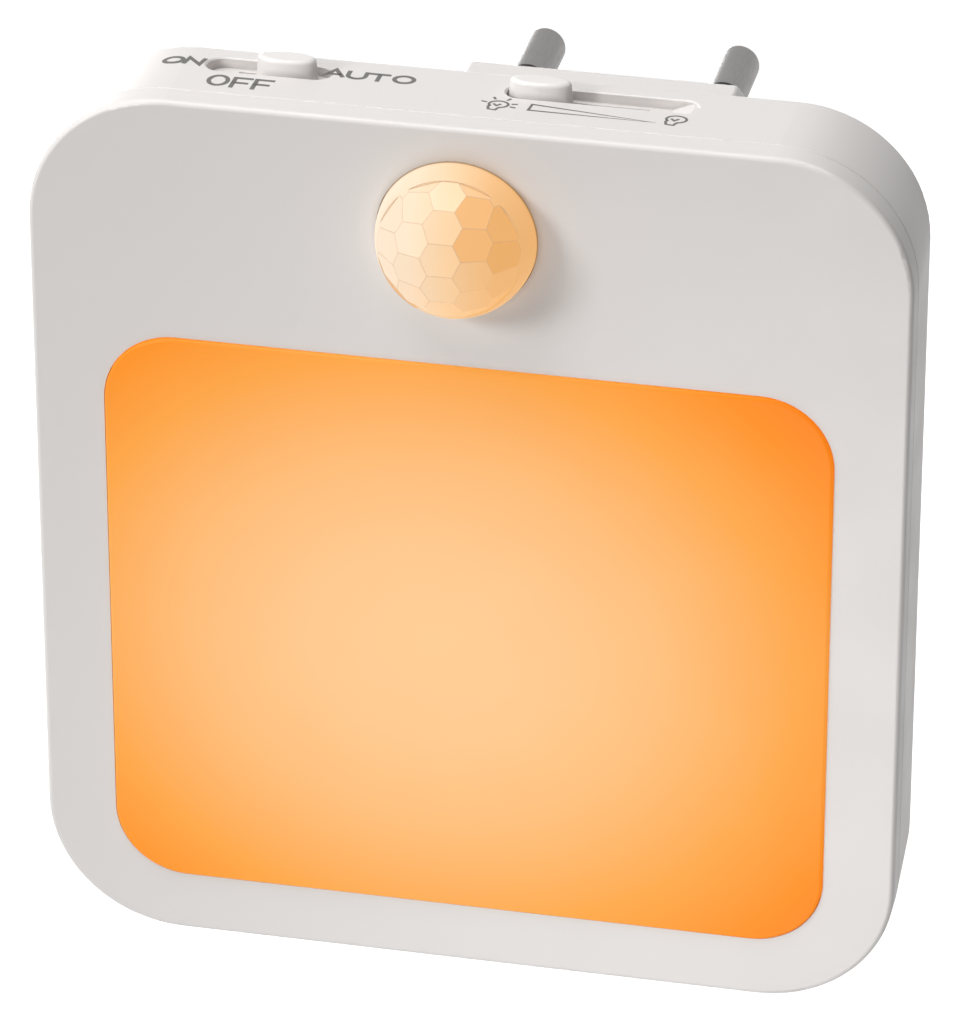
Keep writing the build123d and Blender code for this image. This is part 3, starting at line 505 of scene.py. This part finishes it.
def top_height(x, depth):
    """Height of the case's top face at x from its middle, down the rounded corner too."""
    radius = corner_radius - max(0.0, depth - seam_depth) * tan(housing_draft)
    past = max(0.0, abs(x) - ((cover_high.x - cover_low.x) / 2 - corner_radius))
    return case_top_z - corner_radius + sqrt(radius**2 - past**2)


def ribbon(strokes, width):
    """Vertices and faces of flat ribbons along strokes, points as (x, depth) in metres."""
    verts, faces = [], []
    for stroke in strokes:
        points = [Vector(p) for p in stroke]
        closed = (points[0] - points[-1]).length < SAME_POINT
        if closed:
            points = points[:-1]
        count = len(points)
        first = len(verts)
        for i, point in enumerate(points):
            before = points[i - 1] if i or closed else None
            after = points[(i + 1) % count] if i < count - 1 or closed else None
            into = (point - before).normalized() if before else (after - point).normalized()
            out = (after - point).normalized() if after else into
            bisector = (into + out).normalized()
            side = Vector((-bisector.y, bisector.x))
            reach = width / 2 / max(MITRE_LIMIT, side.dot(Vector((-into.y, into.x))))
            overhang = Vector((0, 0))
            if not before:
                overhang = -into * width * OVERHANG
            if not after:
                overhang = into * width * OVERHANG
            verts.append(point + overhang + side * reach)
            verts.append(point + overhang - side * reach)
        for i in range(count if closed else count - 1):
            a = first + 2 * i
            b = first + 2 * ((i + 1) % count)
            faces.append((a, a + 1, b + 1, b))
    return verts, faces


def printed_mark(name, strokes, width):
    """A thin raised layer of ink on the top face, strokes as (x from the case's middle, depth)."""
    flat, faces = ribbon(strokes, width)
    count = len(flat)
    verts = []
    for lift in (INK_HEIGHT, -INK_HEIGHT):
        verts += [(case_mid_x + p.x, case_face_y + p.y, top_height(p.x, p.y) + lift) for p in flat]
    whole = list(faces)
    whole += [tuple(i + count for i in reversed(face)) for face in faces]
    rims = {}
    for face in faces:
        for a, b in zip(face, face[1:] + face[:1]):
            if (b, a) in rims:
                del rims[(b, a)]
            else:
                rims[(a, b)] = True
    whole += [(b, a, a + count, b + count) for a, b in rims]
    mesh = bpy.data.meshes.new(name)
    mesh.from_pydata(verts, [], whole)
    mesh.validate()
    mesh.update()
    mark = bpy.data.objects.new(name, mesh)
    bpy.context.scene.collection.objects.link(mark)
    mesh.materials.append(ink)
    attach(mark, "housing")


def in_metres(strokes):
    """Strokes in metres, from millimetres."""
    return [[(x * MM, depth * MM) for x, depth in stroke] for stroke in strokes]


def word(name, letters, width, height, slant=0.0):
    """A word from (letter, left, depth of its foot) in mm."""
    strokes = []
    for letter, left, foot in letters:
        for stroke in LETTERS[letter]:
            strokes.append([(left + x * width + y * slant, foot + y * height) for x, y in stroke])
    printed_mark(name, in_metres(strokes), STROKE)


word("mark_off", [("O", -25.0, 4.55), ("F", -22.7, 4.35), ("F", -20.7, 4.35)], 1.72, 2.25)
word("mark_on", [("O", -30.3, 8.95), ("N", -28.2, 8.95)], 1.7, 1.4, slant=0.25)
word("mark_auto", [("A", -15.2, 9.1), ("U", -13.0, 9.0), ("T", -11.05, 8.85), ("O", -8.7, 8.95)], 1.8, 1.6)

# A bulb sign in a glass of radius 1
GLASS = arc((0, 0), (1, 0.85), 215, -75)
CAP = [(-0.95, -0.75), (-0.80, -1.45), (-0.05, -1.55), (0.10, -1.05)]
FILAMENT = [(-0.5, 0.0), (-0.15, -0.4), (0.2, 0.05)]
RAY_ENDS = (1.4, 1.9)


def bulb(name, x, depth, size, rays):
    """Outline of a bulb whose cap points to the near left, with rays at these degrees if it is lit."""
    strokes = [GLASS, [GLASS[0]] + CAP + [GLASS[-1]], FILAMENT]
    for turn in rays:
        strokes.append([(end * cos(radians(turn)), end * sin(radians(turn))) for end in RAY_ENDS])
    placed = [[(x + size * a, depth + size * b) for a, b in stroke] for stroke in strokes]
    printed_mark(name, in_metres(placed), FINE_STROKE)


bulb("mark_bright", 1.72, 6.15, 0.88, (-18, 12, 60, 115, 165))
bulb("mark_dim", 17.95, 6.45, 0.92, ())

wedge = [(16.0, 5.28), (4.69, 6.82), (4.58, 5.42), (16.0, 5.28)]
printed_mark("mark_wedge", in_metres([wedge]), FINE_STROKE)


# ---- Floor, light and camera --------------------------------------------------------------------

FLOOR_BELOW = 0.25  # the lamp is plugged in this far above the floor
FLOOR_HALF = 3.0
FLOOR_TONE = (0.70, 0.70, 0.70)
FLOOR_FADE = (0.5, 1.6)  # the floor turns into the white background between these distances
FLOOR_GLOW = (0.62, 0.95)  # by light of its own that only the camera and gloss find, at those
SKY_LIGHT = 0.15


def seen_directly(tree):
    """1 for rays that should find plain white: the camera's, and what metal and glass mirror."""
    path = tree.nodes.new("ShaderNodeLightPath")
    total = path.outputs["Is Camera Ray"]
    for name in ("Is Glossy Ray", "Is Transmission Ray"):
        both = tree.nodes.new("ShaderNodeMath")
        both.operation = "MAXIMUM"
        tree.links.new(total, both.inputs[0])
        tree.links.new(path.outputs[name], both.inputs[1])
        total = both.outputs[0]
    return total


def make_world():
    """White to those rays, and a dim plain sky that lights the lamp."""
    world = bpy.data.worlds.new("studio")
    bpy.context.scene.world = world
    world.use_nodes = True
    tree = world.node_tree
    background = tree.nodes["Background"]
    background.inputs["Color"].default_value = (1, 1, 1, 1)
    strength = tree.nodes.new("ShaderNodeMapRange")
    tree.links.new(seen_directly(tree), strength.inputs["Value"])
    strength.inputs["To Min"].default_value = SKY_LIGHT
    strength.inputs["To Max"].default_value = 1.0
    tree.links.new(strength.outputs["Result"], background.inputs["Strength"])


def make_floor():
    """Plain pale floor below the lamp."""
    z = cad_box[0][2] - FLOOR_BELOW
    corners = [(x * FLOOR_HALF, y * FLOOR_HALF, z) for x, y in ((-1, -1), (1, -1), (1, 1), (-1, 1))]
    mesh = bpy.data.meshes.new("floor")
    mesh.from_pydata(corners, [], [(0, 1, 2, 3)])
    floor = bpy.data.objects.new("floor", mesh)
    bpy.context.scene.collection.objects.link(floor)
    made = Shader("floor_white")
    made.set(Base_Color=rgba(FLOOR_TONE), Roughness=0.9, Specular_IOR_Level=0.1)
    white = made.remap(made.vector("LENGTH", made.place), *FLOOR_FADE, *FLOOR_GLOW)
    glow = made.math("MULTIPLY", seen_directly(made.tree), white)
    made.set(Emission_Color=(1, 1, 1, 1), Emission_Strength=glow)
    mesh.materials.append(made.material)


def softbox(name, place, size, level, aim=(0, 0, 0), beam=180):
    """Square lamp, placed and aimed from the middle of the case's face.

    A white sheet that faces it at its aim shows level, where 1 is white. A beam under 180 degrees
    is a lamp with a grid, whose light falls off from its aim outwards.
    """
    way = Vector(place) - Vector(aim)
    data = bpy.data.lights.new(name, "AREA")
    data.shape = "SQUARE"
    data.size = size
    data.energy = level * pi**2 * way.length_squared
    if beam < 180:
        half = radians(beam / 2)
        data.spread = 2 * half
        data.energy *= (tan(half) - half) / tan(half)
    lamp = bpy.data.objects.new(name, data)
    bpy.context.scene.collection.objects.link(lamp)
    lamp.location = face_centre + Vector(place)
    lamp.rotation_euler = way.to_track_quat("Z", "Y").to_euler()


make_world()
make_floor()
# The photo's light comes from the left front and from above. The rear lamp is for the back, and the
# two small ones brighten the face at its right and its foot.
softbox("key", (-0.84, -0.72, 0.485), 0.30, 0.45)
softbox("overhead", (-0.30, -0.12, 0.97), 0.6, 0.74)
softbox("rear", (-0.28, 0.68, -0.12), 0.25, 0.40)
softbox("right_fill", (0.030, -0.26, -0.10), 0.06, 0.22, aim=(0.042, 0, -0.010), beam=40)
softbox("low_fill", (0.005, -0.26, -0.16), 0.06, 0.24, aim=(0, 0, -0.050), beam=36)

# Where the photo was taken from: degrees right of and above the middle of the lamp's face
VIEW_RIGHT = 12.23
VIEW_ABOVE = 28.77
VIEW_PLACE = (0.11268, -0.57603, 0.28192)
FOCAL_PIXELS = 6912.0
FRAME_PIXELS = 1024  # the longer side of the picture

turn, tilt = radians(VIEW_RIGHT), radians(VIEW_ABOVE)
right = Vector((cos(turn), sin(turn), 0))
up = Vector((-sin(turn) * sin(tilt), cos(turn) * sin(tilt), cos(tilt)))
back = right.cross(up)
camera_data = bpy.data.cameras.new("camera")
camera_data.lens = FOCAL_PIXELS * camera_data.sensor_width / FRAME_PIXELS
camera = bpy.data.objects.new("camera", camera_data)
bpy.context.scene.collection.objects.link(camera)
camera.matrix_world = Matrix.Translation(VIEW_PLACE) @ Matrix((right, up, back)).transposed().to_4x4()
bpy.context.scene.camera = camera

bpy.context.scene.view_settings.view_transform = "Standard"
